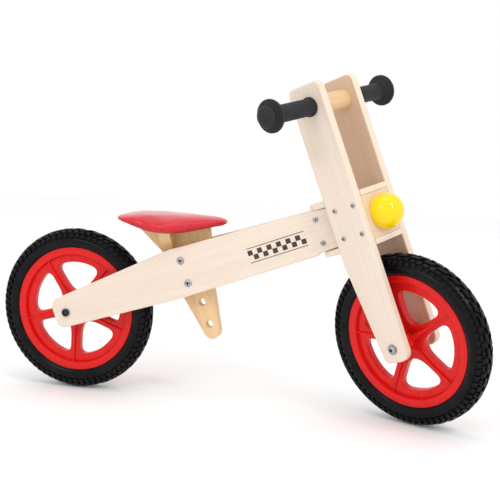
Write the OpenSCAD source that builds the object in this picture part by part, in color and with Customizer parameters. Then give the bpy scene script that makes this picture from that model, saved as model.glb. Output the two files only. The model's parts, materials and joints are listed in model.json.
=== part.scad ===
// Wooden balance bike: two splayed frame plates, a box fork that turns on a steel pin,
// two foam-tyred five-spoke wheels and a padded saddle on a fin-shaped post.
// Millimetres, +X forward, +Y to the rider's left, +Z up.
// The origin is in the middle of the seat post's upper free hole, on the frame's mid-plane.

/* [Wheels] */
// Outside diameter of both tyres
wheel_d = 288; // [270:1:300]
// Overall width of a tyre
tyre_w = 40; // [34:1:44]
// Radius of the curve across the tread
tread_crown_r = 26; // [22:1:40]
// Diameter of the rim where the tyre's side wall meets it
rim_d = 223; // [210:1:230]
// Width of the rim over its flanges
rim_w = 29; // [26:1:32]
// Inner diameter of the rim's ring, where the spokes run in
ring_in_d = 168; // [160:1:174]
// Diameter of the hub
hub_d = 36; // [34:1:40]
// Length of the hub
hub_l = 58; // [50:1:60]
// Number of spokes in each wheel
spokes = 5; // [4:1:7]
// Angle of the rear wheel's first spoke above the forward direction, in the stored pose
rear_phase = 51.4; // [0:0.1:72]
// The same for the front wheel, in the fork's own plane
front_phase = 17.6; // [0:0.1:72]
// Diameter of the axle bolts and of the steering bolt
bolt_d = 8; // [6:1:8]

/* [Layout] */
// Distance from the rear axle to the foot of the steering axis, at the height of the front axle
head_x = 550; // [520:1:580]
// Backward lean of the steering axis
lean = 20.3; // [15:0.1:25]
// Distance of the front axle ahead of the steering axis
fork_offset = 61; // [55:1:65]
// Angle of the fork in the stored pose, minus is to the rider's right
steer_rest = -25.5; // [-40:0.5:40]
// Clear width between the fork plates and, at the rear axle, between the frame plates
inner_gap = 73; // [70:1:76]

/* [Frame] */
// Thickness of the frame plates
frame_t = 12; // [10:1:15]
// Width of the head block between the frame plates
head_w = 36; // [30:1:40]
// Height of the beam's lower edge in the leaning frame
beam_bottom = 173; // [170:1:174]
// Height of the beam's highest point in the leaning frame
beam_top = 258.6; // [250:0.2:262]
// Height of the beam's upper edge at the head, before the relief
beam_head_top = 246; // [245:0.5:250]

/* [Fork] */
// Thickness of the fork plates and of the seat post
ply_t = 15; // [12:1:18]
// Front edge of the fork plates, ahead of the steering axis
fork_front = 85; // [80:1:90]
// Width of the fork plates above the box
fork_w = 65.5; // [60:0.5:70]
// Top of the fork plates, above the front axle along the steering axis
fork_top = 438.5; // [420:0.5:450]
// Thickness of the two boards that hold the head
board_t = 10; // [8:1:12]
// Underside of the top board
board_high = 245.5; // [240:0.5:250]
// Clear height between the boards
board_gap = 70; // [60:1:74]
// Rear end of the boards, behind the steering axis
board_rear = 28; // [24:1:32]
// Depth of the solid block between the boards
block_l = 56; // [50:1:58]
// Radius of the ball lamp
ball_r = 29; // [25:1:32]

/* [Handlebar] */
// Diameter of the handlebar between the plates
bar_d = 32; // [28:1:34]
// Diameter of the handlebar's turned ends
bar_end_d = 22; // [20:1:24]
// Height of the handlebar above the front axle along the steering axis
bar_v = 402.7; // [390:0.1:410]
// Distance of the handlebar ahead of the steering axis
bar_u = 54.7; // [50:0.1:60]
// Distance from the bike's middle to the end of each grip
grip_end = 167; // [155:1:175]
// Diameter of the large ring of each grip
grip_ring_d = 52; // [46:1:54]

/* [Saddle] */
// Height of the saddle board's underside at its lowest point, above the ground
seat_z = 298; // [295:1:302]
// Thickness of the saddle board
seat_board_t = 7; // [6:1:12]
// Spacing of the seat post's holes, one step of seat height
post_pitch = 40; // [36:1:44]
// Diameter of the seat post's holes
post_hole_d = 12; // [11:0.5:13]

/* [Hidden] */

$fn = 64;
SIDES = [-1, 1];
eps = 0.01;

// Fits, as gaps on the radius
fit_loose = 0.1;     // a bolt in its wooden hole
fit_run = 0.05;      // a bush turning on its bolt
fit_thread = 0.02;   // a nut on its bolt
face_gap = 0.3;      // faces that pass each other

wheel_r = wheel_d / 2;
rim_r = rim_d / 2;
bolt_r = bolt_d / 2;

// Height of the steering axis' foot, so that the turned front tyre just touches the ground
tilt_cos = sqrt(1 - pow(sin(steer_rest) * sin(lean), 2));
front_hub_z = (wheel_r - tread_crown_r) * tilt_cos + tread_crown_r;
head_z = front_hub_z - fork_offset * cos(steer_rest) * sin(lean);

// The rear axle in the leaning frame: u runs forward along the boards, v up the steering axis
rear_u = -head_x * cos(lean) + (wheel_r - head_z) * sin(lean);
rear_v = head_x * sin(lean) + (wheel_r - head_z) * cos(lean);

half_gap = inner_gap / 2;
fork_half = half_gap + ply_t;
splay = atan((half_gap - head_w / 2) / -rear_u);
function inner_y(u) = head_w / 2 - u * tan(splay);
function outer_y(u) = inner_y(u) + frame_t / cos(splay);

board_low = board_high - board_gap;
head_clear = 1.4;                       // gap between the head and each board
head_low = board_low + head_clear;
head_high = board_high - head_clear;

// Head block
head_nose_r = 25;
head_block_rear = -52;
head_screw_u = -31;
head_screw_pitch = 40;
plate_front = 4;                        // front ends of the frame plates
nose_half_angle = asin(inner_y(plate_front) / head_nose_r);
relief_u = -46;                         // where the beam is cut back to pass between the boards
relief_ramp = 6;

// Seat post in the leaning frame
post_u = -274.7;
post_v = 114.5;                         // lowest hole
post_tip_r = 15;
spacer_l = 42;
spacer_h = 70;

// The origin's place ahead of the rear axle and above the ground
free_hole_v = post_v + post_pitch;
origin_x = head_x + post_u * cos(lean) - free_hole_v * sin(lean);
origin_z = head_z + post_u * sin(lean) + free_hole_v * cos(lean);

// Saddle, as distances ahead of the rear axle
corbel_x = 168;
corbel_l = 21;
seat_low_x = 185;                       // the board is bent about an axis above this point
seat_bend_r = 300;
seat_rear_x = 128;
seat_nose_x = 256;
function seat_under(x) = seat_z + seat_bend_r - sqrt(pow(seat_bend_r, 2) - pow(x - seat_low_x, 2));

// Bolt heads and nuts
head_r = 6.5;
head_h = 3.6;
washer_r = 8.5;
washer_t = 1.6;
nut_h = 6.5;
nut_af_r = 7.5;
sleeve_r = 5;

// ---- helpers ----

function arc(cx, cy, r, a0, a1, n = 8) =
    [for (i = [0:n]) let (a = a0 + (a1 - a0) * i / n) [cx + r * cos(a), cy + r * sin(a)]];

module world() translate([-origin_x, 0, -origin_z]) children();
module at_rear_axle() world() translate([0, 0, wheel_r]) children();
module leaning() world() translate([head_x, 0, head_z]) rotate([0, -lean, 0]) children();
module steered() leaning() rotate([0, 0, steer_rest]) children();
module at_front_axle() steered() translate([fork_offset, 0, 0]) children();

// A cylinder along Y, centred at (u, v), from y0 to y1
module bar_y(u, v, y0, y1, r) translate([u, y1, v]) rotate([90, 0, 0]) cylinder(r = r, h = y1 - y0);

// An outline in the u-v plane, extruded from y0 to y1
module slab_y(y0, y1) translate([0, y1, 0]) rotate([90, 0, 0]) linear_extrude(y1 - y0) children();

// A domed head that stands on the plane z = 0
module dome(r, h) {
    edge = h * 0.35;
    rotate_extrude() polygon(concat([[0, 0], [r, 0], [r, edge]],
        [for (a = [15:15:90]) [r * cos(a), edge + (h - edge) * sin(a)]]));
}

// A dome that stands on a face looking along -Y (side = -1) or +Y (side = 1)
module dome_y(u, v, y, side, r, h) translate([u, y, v]) rotate([-90 * side, 0, 0]) dome(r, h);

// A ring along Y, centred at (u, v)
module ring_y(u, v, y0, y1, r_out, r_in) difference() {
    bar_y(u, v, y0, y1, r_out);
    bar_y(u, v, y0 - eps, y1 + eps, r_in);
}

// ---- frame ----

// The beam's side outline in the leaning frame
function beam_outline() = let (
        rear_end = rear_u - 24,
        r_top = 16,
        r_low = 15,
        low_rear = rear_v - 25,
        knee = -296,
        peak = -292,
        top_rear = beam_top - 0.0897 * (peak - rear_end))
    concat(
        arc(rear_end + r_low, low_rear + r_low, r_low, 180, 270),
        [[knee, beam_bottom],
         [relief_u, beam_bottom],
         [relief_u + relief_ramp, head_low],
         [plate_front, head_low],
         [plate_front, head_high],
         [relief_u + relief_ramp, head_high],
         [relief_u, beam_head_top],
         [peak, beam_top]],
        arc(rear_end + r_top, top_rear - r_top + 2, r_top, 95, 180));

module frame_plate(side) color([0.97, 0.89, 0.80]) leaning() difference() {
    translate([0, side * head_w / 2, 0]) rotate([0, 0, -side * splay])
        slab_y(side > 0 ? 0 : -frame_t, side > 0 ? frame_t : 0) polygon(beam_outline());
    bar_y(rear_u, rear_v, -100, 100, bolt_r + fit_loose);
    // flat seats for the axle's washers and spacers on the slanting faces
    bar_y(rear_u, rear_v, side > 0 ? half_gap + frame_t - 0.6 : -100,
          side > 0 ? 100 : -half_gap - frame_t + 0.6, washer_r + 0.5);
    bar_y(rear_u, rear_v, -half_gap - 0.4, half_gap + 0.4, washer_r + 0.5);
    for (k = [2, 3]) {
        bar_y(post_u, post_v + k * post_pitch, -100, 100, sleeve_r + fit_loose);
        dome_seat(post_u, post_v + k * post_pitch, side, head_r + 0.4);
    }
    for (s = SIDES) {
        bar_y(head_screw_u, head_mid_v() + s * head_screw_pitch / 2, -100, 100, 2.5 + fit_loose);
        dome_seat(head_screw_u, head_mid_v() + s * head_screw_pitch / 2, side, 5.4);
    }
}

function head_mid_v() = (board_low + board_high) / 2;
function seat_y(u) = outer_y(u) - 0.7;

// A flat seat for a bolt or screw head in the slanting outer face
module dome_seat(u, v, side, r) bar_y(u, v, side > 0 ? seat_y(u) : -100, side > 0 ? 100 : -seat_y(u), r);

module frame_plate_right() frame_plate(-1);
module frame_plate_left() frame_plate(1);

module head_block() color([0.90, 0.78, 0.62]) leaning() difference() {
    translate([0, 0, head_low]) linear_extrude(head_high - head_low)
        polygon(concat([[head_block_rear, -inner_y(head_block_rear)],
                        [plate_front, -inner_y(plate_front)]],
                       arc(0, 0, head_nose_r, -nose_half_angle, nose_half_angle, 12),
                       [[plate_front, inner_y(plate_front)],
                        [head_block_rear, inner_y(head_block_rear)]]));
    translate([0, 0, head_low - eps]) cylinder(r = 6, h = head_high - head_low + 2 * eps);
    for (s = SIDES) bar_y(head_screw_u, head_mid_v() + s * head_screw_pitch / 2, -60, 60, 2 + fit_thread);
}

// Countersunk-pattern wood screw lying along Y: a domed head and a stepped shank
module wood_screw(u, v, y, side, head, neck, shank, neck_l, length) {
    dome_y(u, v, y, side, head, 2.4);
    bar_y(u, v, side > 0 ? y - neck_l : -y, side > 0 ? y : -y + neck_l, neck);
    bar_y(u, v, side > 0 ? y - length : -y + neck_l, side > 0 ? y - neck_l : -y + length, shank);
}

module head_screws() color([0.45, 0.45, 0.47]) leaning() for (side = SIDES, s = SIDES)
    let (v = head_mid_v() + s * head_screw_pitch / 2, y = seat_y(head_screw_u))
    if (side > 0) wood_screw(head_screw_u, v, y, 1, 4.8, 2.5, 2, frame_t - 1.2, 26);
    else mirror([0, 1, 0]) wood_screw(head_screw_u, v, y, 1, 4.8, 2.5, 2, frame_t - 1.2, 26);

// Flanged nylon bushes at both ends of the head block's bore
module steering_bushes() color("white") leaning() for (s = SIDES)
    translate([0, 0, s > 0 ? head_high : head_low]) scale([1, 1, s]) difference() {
        union() {
            cylinder(r = 11, h = head_clear - face_gap);
            translate([0, 0, -18]) cylinder(r = 6, h = 18);
        }
        translate([0, 0, -20]) cylinder(r = bolt_r + fit_run, h = 30);
    }

// Wedge blocks between the seat post and the slanting frame plates
module seat_spacer(side) color([0.88, 0.75, 0.58]) leaning() difference() {
    u0 = post_u - spacer_l / 2;
    u1 = post_u + spacer_l / 2;
    translate([0, 0, post_v + 2.5 * post_pitch - spacer_h / 2]) linear_extrude(spacer_h)
        polygon([[u0, side * ply_t / 2], [u1, side * ply_t / 2],
                 [u1, side * inner_y(u1)], [u0, side * inner_y(u0)]]);
    for (k = [2, 3]) bar_y(post_u, post_v + k * post_pitch, -60, 60, sleeve_r + fit_loose);
}
module seat_spacer_right() seat_spacer(-1);
module seat_spacer_left() seat_spacer(1);

// ---- saddle ----

module seat_post() color([0.86, 0.70, 0.50]) difference() {
    leaning() difference() {
        slab_y(-ply_t / 2, ply_t / 2) polygon(concat(
            arc(post_u + 0.5, post_v - 12, post_tip_r, 192, 346, 14),
            [[post_u + 28, 170], [post_u + 53.5, 266.5], [post_u + 64, 308], [post_u - 92, 360],
             [post_u - 63.5, 303.5], [post_u - 39.5, 256.5], [post_u - 29.5, 170]]));
        for (k = [0:3]) bar_y(post_u, post_v + k * post_pitch, -ply_t, ply_t, post_hole_d / 2);
    }
    world() bent_space(-glue_gap, 100);
    world() for (x = seat_screw_x) translate([x, 0, seat_under(x) - 26]) cylinder(r = 2 + fit_thread, h = 40);
}

seat_screw_x = [158, 205, 238];
corbel_screw_y = 26;
head_sink = 2.4;                        // depth of the screw heads in the saddle board
glue_gap = 0.05;                        // glue line under the saddle board

// Everything above the saddle board's underside, raised by gap
module bent_space(gap, half_w)
    bar_y(seat_low_x, seat_z + seat_bend_r, -half_w, half_w, seat_bend_r - gap, $fn = 360);

// Curved gussets that carry the wide part of the saddle board on both sides of the post
module seat_corbel(side) color([0.72, 0.50, 0.30]) world() difference() {
    translate([corbel_x, 0, 0]) rotate([90, 0, 90]) linear_extrude(corbel_l)
        polygon(concat([[side * ply_t / 2, seat_z + 4], [side * ply_t / 2, 263], [side * 19, 263]],
                       [for (i = [1:6]) let (t = i / 6)
                           [side * (19 + min(18, 23 * pow(t, 1.15))), 263 + 36 * t]]));
    bent_space(-glue_gap, 100);
    translate([corbel_x + corbel_l / 2, side * corbel_screw_y, seat_z - 12]) cylinder(r = 2 + fit_thread, h = 20);
}
module seat_corbel_right() seat_corbel(-1);
module seat_corbel_left() seat_corbel(1);

module seat_outline(inset) hull() {
    for (s = SIDES) {
        translate([seat_rear_x + 2, s * 17]) circle(r = 35 - inset, $fn = 48);
        translate([182, s * 14]) circle(r = 36 - inset, $fn = 48);
    }
    translate([seat_nose_x - 2, 0]) circle(r = 25 - inset, $fn = 32);
}

// Plywood board, bent up towards the saddle's nose and tail
module seat_board() color([0.80, 0.66, 0.46]) world() difference() {
    intersection() {
        translate([0, 0, seat_z - 1]) linear_extrude(60) seat_outline(10);
        difference() {
            bent_space(0, 100);
            bent_space(seat_board_t, 101);
        }
    }
    for (x = seat_screw_x) screw_seat(x, 0);
    for (s = SIDES) screw_seat(corbel_x + corbel_l / 2, s * corbel_screw_y);
}

module screw_seat(x, y) translate([x, y, seat_under(x)]) {
    translate([0, 0, -10]) cylinder(r = 2.5, h = 30);
    translate([0, 0, seat_board_t - head_sink]) cylinder(r = 4.8, h = 20);
}

// Foam pad with its cover: a domed cushion whose skirt wraps the board's edge
module seat_pad() color([0.80, 0.08, 0.14]) world() difference() {
    hull() {
        for (s = SIDES) {
            translate([seat_rear_x, s * 17, 315.3]) scale([43.8, 43, 7.1]) sphere(1, $fn = 32);
            translate([180, s * 26, 306]) scale([53.6, 41, 14.3]) sphere(1, $fn = 32);
        }
        translate([seat_nose_x, 0, 313.4]) scale([25.7, 29.6, 8]) sphere(1, $fn = 32);
    }
    difference() {
        translate([0, 0, seat_z - 20]) linear_extrude(80) seat_outline(9.6);
        bent_space(seat_board_t + 0.4, 101);
    }
}

module seat_screws() color([0.6, 0.6, 0.62]) world() {
    for (x = seat_screw_x) seat_screw(x, 0, 25);
    for (s = SIDES) seat_screw(corbel_x + corbel_l / 2, s * corbel_screw_y, 10);
}

module seat_screw(x, y, depth) translate([x, y, seat_under(x)]) {
    translate([0, 0, seat_board_t - head_sink]) dome(4.5, 2);
    translate([0, 0, 1]) cylinder(r = 2.4, h = seat_board_t - head_sink - 1);
    translate([0, 0, -depth]) cylinder(r = 2, h = depth + 1);
}

// Connector bolts: a domed head on the right, and a sleeve nut that takes it from the left
module seat_bolts() color([0.35, 0.35, 0.37]) leaning() for (k = [2, 3]) {
    v = post_v + k * post_pitch;
    dome_y(post_u, v, -seat_y(post_u), -1, head_r, head_h);
    bar_y(post_u, v, -seat_y(post_u), 12, 3);
}

module seat_sleeve_nuts() color([0.35, 0.35, 0.37]) leaning() for (k = [2, 3]) {
    v = post_v + k * post_pitch;
    dome_y(post_u, v, seat_y(post_u), 1, head_r, head_h);
    difference() {
        bar_y(post_u, v, -seat_y(post_u) + 9, seat_y(post_u), sleeve_r);
        bar_y(post_u, v, -60, 12.5, 3 + fit_thread);
    }
}

// ---- wheels ----

// Axle bolt along Y with its domed head on the right; reach is the outer face of the washers
module axle_bolt(reach) {
    dome_y(0, 0, -reach, -1, head_r, head_h + 0.6);
    bar_y(0, 0, -reach, reach + nut_h - 1, bolt_r);
}

// Cap nut on the left: a hexagon with a domed cap over a blind hole
module cap_nut(reach) difference() {
    union() {
        translate([0, reach, 0]) rotate([-90, 0, 0]) cylinder(r = nut_af_r, h = nut_h * 0.6, $fn = 6);
        dome_y(0, 0, reach + nut_h * 0.6 - eps, 1, nut_af_r * 0.86, nut_h);
    }
    bar_y(0, 0, reach - eps, reach + nut_h - 0.5, bolt_r + fit_thread);
}

module axle_washers(face) for (s = SIDES)
    ring_y(0, 0, s > 0 ? face : -face - washer_t, s > 0 ? face + washer_t : -face, washer_r, bolt_r + fit_loose);

module axle_spacers(face) for (s = SIDES)
    ring_y(0, 0, s > 0 ? bush_out() + face_gap : -face, s > 0 ? face : -bush_out() - face_gap,
           7, bolt_r + fit_loose);

function bush_out() = hub_l / 2 + 1.5;

// Flanged nylon bushes pressed into both ends of the hub
module hub_bushes() for (s = SIDES) difference() {
    union() {
        bar_y(0, 0, s > 0 ? hub_l / 2 : -bush_out(), s > 0 ? bush_out() : -hub_l / 2, 9);
        bar_y(0, 0, s > 0 ? hub_l / 2 - 16 : -hub_l / 2, s > 0 ? hub_l / 2 : -hub_l / 2 + 16, 6.5);
    }
    bar_y(0, 0, -60, 60, bolt_r + fit_run);
}

// A shape turned about the wheel's axis, drawn with X as the radius and Y as the width
module turned() rotate([90, 0, 0]) rotate_extrude($fn = 128) children();

bead_r = rim_r - 5.5;                   // the tyre sits on this radius between the flanges
flange_w = 2.2;
web_half = 8;                           // half the thickness of the recessed web
spoke_half = 7.4;
rib_half = 11;
step_r = 98;                            // where the web steps up to the flange

module rim(phase) {
    half = rim_w / 2;
    difference() {
        union() {
            turned() polygon([[ring_in_d / 2, -web_half], [step_r - 1, -web_half], [step_r, -half + 0.8],
                [rim_r, -half], [rim_r, -half + flange_w], [bead_r, -half + flange_w],
                [bead_r, half - flange_w], [rim_r, half - flange_w], [rim_r, half],
                [step_r, half - 0.8], [step_r - 1, web_half], [ring_in_d / 2, web_half]]);
            turned() polygon([[0, -hub_l / 2], [hub_d / 2 - 4, -hub_l / 2], [hub_d / 2, -half + 1],
                [hub_d / 2, half - 1], [hub_d / 2 - 4, hub_l / 2], [0, hub_l / 2]]);
            for (i = [0:spokes - 1]) rotate([0, -phase - i * 360 / spokes, 0]) spoke();
        }
        bar_y(0, 0, -hub_l, hub_l, 6.5);
    }
}

// One spoke along +X: a waisted web with a thin rib standing up on both sides
module spoke() {
    r0 = 12;
    r1 = ring_in_d / 2 + 4;
    slab_y(-spoke_half, spoke_half) polygon([[r0, -7], [r0 + 12, -12], [r0 + 30, -9.5], [r1 - 16, -9],
        [r1, -18], [r1, 18], [r1 - 16, 9], [r0 + 30, 9.5], [r0 + 12, 12], [r0, 7]]);
    slab_y(-rib_half, rib_half) polygon([[r0, -2], [step_r - 0.4, -1.5], [step_r - 0.4, 1.5], [r0, 2]]);
}

// Foam tyre: round tread, straight side walls, and a foot between the rim's flanges
module tyre() {
    half = tyre_w / 2;
    shoulder_a = asin(half / tread_crown_r);
    crown_c = wheel_r - tread_crown_r;
    foot = rim_w / 2 - flange_w - 0.05;
    wall_x = crown_c + tread_crown_r * cos(shoulder_a);
    turned() polygon(concat(
        [[bead_r + 0.05, foot], [bead_r + 0.05, -foot], [rim_r + 0.3, -foot], [rim_r + 0.3, -rim_w / 2],
         [rim_r + 10, -half]],
        [for (i = [-8:8]) let (a = shoulder_a * i / 8) [crown_c + tread_crown_r * cos(a), tread_crown_r * sin(a)]],
        [[rim_r + 10, half], [rim_r + 0.3, rim_w / 2], [rim_r + 0.3, foot]]));
}

rear_face = half_gap + frame_t - 0.6;   // where the rear washers sit
rear_reach_y = rear_face + washer_t;
fork_reach_y = fork_half + washer_t;

module rear_axle_bolt() color([0.12, 0.12, 0.13]) at_rear_axle() axle_bolt(rear_reach_y);
module rear_axle_nut() color([0.12, 0.12, 0.13]) at_rear_axle() cap_nut(rear_reach_y);
module rear_axle_washers() color([0.75, 0.76, 0.78]) at_rear_axle() axle_washers(rear_face);
module rear_axle_spacers() color([0.75, 0.76, 0.78]) at_rear_axle() axle_spacers(half_gap + 0.4);
module rear_rim() color([0.88, 0.10, 0.08]) at_rear_axle() rim(rear_phase);
module rear_tyre() color([0.08, 0.08, 0.09]) at_rear_axle() tyre();
module rear_hub_bushes() color("white") at_rear_axle() hub_bushes();

module front_axle_bolt() color([0.7, 0.71, 0.73]) at_front_axle() axle_bolt(fork_reach_y);
module front_axle_nut() color([0.7, 0.71, 0.73]) at_front_axle() cap_nut(fork_reach_y);
module front_axle_washers() color([0.75, 0.76, 0.78]) at_front_axle() axle_washers(fork_half);
module front_axle_spacers() color([0.75, 0.76, 0.78]) at_front_axle() axle_spacers(half_gap);
module front_rim() color([0.88, 0.10, 0.08]) at_front_axle() rim(front_phase);
module front_tyre() color([0.08, 0.08, 0.09]) at_front_axle() tyre();
module front_hub_bushes() color("white") at_front_axle() hub_bushes();

// ---- fork ----

block_front = fork_front - 1;
block_rear = block_front - block_l;
screw_mid_u = (block_front + block_rear) / 2;
screw_mid_v = 212;
screw_du = 18.8;
screw_dv = 23.1;

// The fork plate's outline: straight front edge, a taper below the box, a rounded foot
function fork_outline() = let (rear = fork_front - fork_w, foot = -22.5) concat(
    arc(fork_front - 60 + 23, foot + 10, 10, 190, 270),
    arc(fork_front - 16, foot + 16, 16, 270, 360),
    arc(fork_front - 12, fork_top - 12, 12, 0, 90),
    arc(rear + 12, fork_top - 12, 12, 90, 180),
    [[rear, 145]]);

module fork_plate(side) color([0.96, 0.88, 0.79]) steered() difference() {
    slab_y(side > 0 ? half_gap : -fork_half, side > 0 ? fork_half : -half_gap) polygon(fork_outline());
    bar_y(fork_offset, 0, -100, 100, bolt_r + fit_loose);
    bar_y(bar_u, bar_v, -100, 100, bar_end_d / 2);
    for (a = SIDES, b = SIDES)
        bar_y(screw_mid_u + a * screw_du, screw_mid_v + b * screw_dv, -100, 100, 2.25 + fit_loose);
}
module fork_plate_right() fork_plate(-1);
module fork_plate_left() fork_plate(1);

// The boards' outline, with rounded rear corners, seen from above
module board_plan() polygon(concat([[fork_front, half_gap]],
    arc(-board_rear + 12, half_gap - 12, 12, 90, 180),
    arc(-board_rear + 12, -half_gap + 12, 12, 180, 270), [[fork_front, -half_gap]]));

module fork_board(v) color([0.94, 0.85, 0.74]) steered() difference() {
    translate([0, 0, v]) linear_extrude(board_t) board_plan();
    translate([0, 0, v - eps]) cylinder(r = bolt_r + fit_loose, h = board_t + 2 * eps);
    translate([0, 0, v > board_low ? v + board_t - pin_sink : v - eps]) cylinder(r = 12, h = pin_sink + eps);
    for (s = SIDES) translate([screw_mid_u, s * dowel_y, v - eps])
        cylinder(r = dowel_r, h = board_t + 2 * eps);
}
module fork_top_board() fork_board(board_high);
module fork_bottom_board() fork_board(board_low - board_t);

dowel_y = 20;
dowel_r = 4;
dowel_l = 28;

module fork_block() color([0.93, 0.82, 0.69]) steered() difference() {
    translate([block_rear, -half_gap, board_low]) cube([block_l, inner_gap, board_gap]);
    for (a = SIDES, b = SIDES) bar_y(screw_mid_u + a * screw_du, screw_mid_v + b * screw_dv, -60, 60, 1.75);
    for (s = SIDES, v = [board_low - eps, board_high - dowel_l + board_t])
        translate([screw_mid_u, s * dowel_y, v]) cylinder(r = dowel_r, h = dowel_l - board_t + eps);
    translate([block_front - 14, 0, head_mid_v()]) rotate([0, 90, 0]) cylinder(r = 5, h = 20);
}

// Glued dowels that tie the boards to the block
module board_dowels() color([0.85, 0.70, 0.50]) steered()
    for (s = SIDES, v = [board_low - board_t, board_high - dowel_l + board_t])
        translate([screw_mid_u, s * dowel_y, v]) cylinder(r = dowel_r - fit_thread, h = dowel_l);

module fork_screws() color([0.45, 0.45, 0.47]) steered() for (side = SIDES, a = SIDES, b = SIDES)
    let (u = screw_mid_u + a * screw_du, v = screw_mid_v + b * screw_dv)
    if (side > 0) wood_screw(u, v, fork_half, 1, 4, 2.25, 1.75, ply_t, 40);
    else mirror([0, 1, 0]) wood_screw(u, v, fork_half, 1, 4, 2.25, 1.75, ply_t, 40);

// The ball lamp: a turned ball with a flat that sits on the block's front face
ball_u = block_front + 10.4;

module lamp_ball() color([1.0, 0.86, 0.02]) steered()
    translate([block_front, 0, head_mid_v()]) rotate([0, 90, 0]) rotate_extrude() difference() {
        translate([0, ball_u - block_front]) circle(r = ball_r);
        translate([-2 * ball_r, -2 * ball_r]) square([4 * ball_r, 2 * ball_r]);
        translate([-2 * ball_r, -ball_r]) square([2 * ball_r, 4 * ball_r]);
        translate([0, -1]) square([5, 17]);
    }
module lamp_dowel() color([0.85, 0.70, 0.50]) steered()
    translate([block_front - 14, 0, head_mid_v()]) rotate([0, 90, 0]) cylinder(r = 5 - fit_thread, h = 29);

// ---- handlebar and grips ----

module handlebar() color([0.93, 0.72, 0.46]) steered() {
    bar_y(bar_u, bar_v, -half_gap, half_gap, bar_d / 2);
    for (s = SIDES) bar_y(bar_u, bar_v, s > 0 ? half_gap : -grip_end + 14, s > 0 ? grip_end - 14 : -half_gap,
                          bar_end_d / 2 - fit_thread);
}

// Rubber grip: an inner collar, a slim tube, then a mushroom of stepped rings with a domed end
module grip(side) color([0.16, 0.17, 0.18]) steered() translate([bar_u, 0, bar_v]) rotate([-90 * side, 0, 0])
    difference() {
        ring_z = grip_end - 20;
        ring_r = grip_ring_d / 2;
        rotate_extrude() polygon(concat(
            [[0, fork_half], [15.7, fork_half], [15.7, fork_half + 3], [14, fork_half + 4.5],
             [14, ring_z - 6], [16, ring_z - 4], [ring_r - 1.5, ring_z - 2], [ring_r, ring_z - 0.5],
             [ring_r, ring_z + 3], [ring_r - 1.6, ring_z + 3.6], [ring_r - 1.6, ring_z + 7],
             [ring_r - 3.2, ring_z + 7.6], [ring_r - 3.2, ring_z + 11], [ring_r - 5.2, ring_z + 11.6]],
            [for (a = [0:15:90]) [(ring_r - 5.2) * cos(a), ring_z + 12.5 + 7.5 * sin(a)]]));
        translate([0, 0, fork_half - 1]) cylinder(r = bar_end_d / 2, h = grip_end - 14 - fork_half + 1.2);
    }
module grip_right() grip(-1);
module grip_left() grip(1);

// ---- steering bolt, sunk in both boards ----

pin_sink = 6;
pin_high = board_high + board_t - pin_sink;
pin_low = board_low - board_t + pin_sink;

module steering_bolt() color([0.7, 0.71, 0.73]) steered() {
    translate([0, 0, pin_high + washer_t]) dome(head_r + 1.5, pin_sink - washer_t - 0.4);
    translate([0, 0, pin_low - pin_sink + 0.5]) cylinder(r = bolt_r, h = pin_high - pin_low + pin_sink + washer_t - 0.5);
}
module steering_nut() color([0.7, 0.71, 0.73]) steered() difference() {
    translate([0, 0, pin_low - pin_sink + 0.2]) cylinder(r = nut_af_r, h = pin_sink - washer_t - 0.2, $fn = 6);
    translate([0, 0, pin_low - pin_sink]) cylinder(r = bolt_r + fit_thread, h = pin_sink);
}
module steering_washers() color([0.75, 0.76, 0.78]) steered()
    for (v = [pin_high, pin_low - washer_t]) difference() {
        translate([0, 0, v]) cylinder(r = 11, h = washer_t);
        translate([0, 0, v - eps]) cylinder(r = bolt_r + fit_loose, h = washer_t + 2 * eps);
    }

frame_plate_right();
frame_plate_left();
head_block();
head_screws();
steering_bushes();
seat_spacer_right();
seat_spacer_left();
seat_post();
seat_corbel_right();
seat_corbel_left();
seat_board();
seat_pad();
seat_screws();
seat_bolts();
seat_sleeve_nuts();
rear_axle_bolt();
rear_axle_nut();
rear_axle_washers();
rear_axle_spacers();
rear_rim();
rear_tyre();
rear_hub_bushes();
fork_plate_right();
fork_plate_left();
fork_block();
fork_top_board();
fork_bottom_board();
board_dowels();
fork_screws();
lamp_ball();
lamp_dowel();
handlebar();
grip_right();
grip_left();
front_axle_bolt();
front_axle_nut();
front_axle_washers();
front_axle_spacers();
steering_bolt();
steering_nut();
steering_washers();
front_rim();
front_tyre();
front_hub_bushes();
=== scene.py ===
"""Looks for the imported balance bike.

Bevelled plywood, five-spoke wheels with block-tread foam tyres, a gathered leatherette saddle,
stepped grips, recessed fasteners, studio light and the camera.
"""
import json
import math

import bmesh
import bpy
import numpy as np
from mathutils import Matrix, Vector
from mathutils.bvhtree import BVHTree


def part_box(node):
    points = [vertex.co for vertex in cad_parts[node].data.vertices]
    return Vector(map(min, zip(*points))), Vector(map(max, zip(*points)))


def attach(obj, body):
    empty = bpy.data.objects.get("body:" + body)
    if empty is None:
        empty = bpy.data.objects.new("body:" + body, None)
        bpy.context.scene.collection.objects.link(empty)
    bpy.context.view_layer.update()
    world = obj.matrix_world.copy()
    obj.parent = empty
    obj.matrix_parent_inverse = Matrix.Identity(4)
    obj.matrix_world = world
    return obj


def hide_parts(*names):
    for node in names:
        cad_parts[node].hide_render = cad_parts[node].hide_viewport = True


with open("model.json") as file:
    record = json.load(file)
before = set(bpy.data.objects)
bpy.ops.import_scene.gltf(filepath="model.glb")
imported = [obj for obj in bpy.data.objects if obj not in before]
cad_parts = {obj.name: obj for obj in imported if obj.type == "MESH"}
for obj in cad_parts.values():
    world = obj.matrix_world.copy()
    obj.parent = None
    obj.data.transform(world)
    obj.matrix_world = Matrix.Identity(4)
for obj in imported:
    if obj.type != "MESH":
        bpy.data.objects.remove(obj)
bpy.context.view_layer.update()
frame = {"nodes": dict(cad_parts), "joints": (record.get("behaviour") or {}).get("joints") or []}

MM = 0.001
WELD = 2e-6
SHARP = math.radians(28)
SIDES = (-1, 1)
NODES = frame["nodes"]
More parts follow.
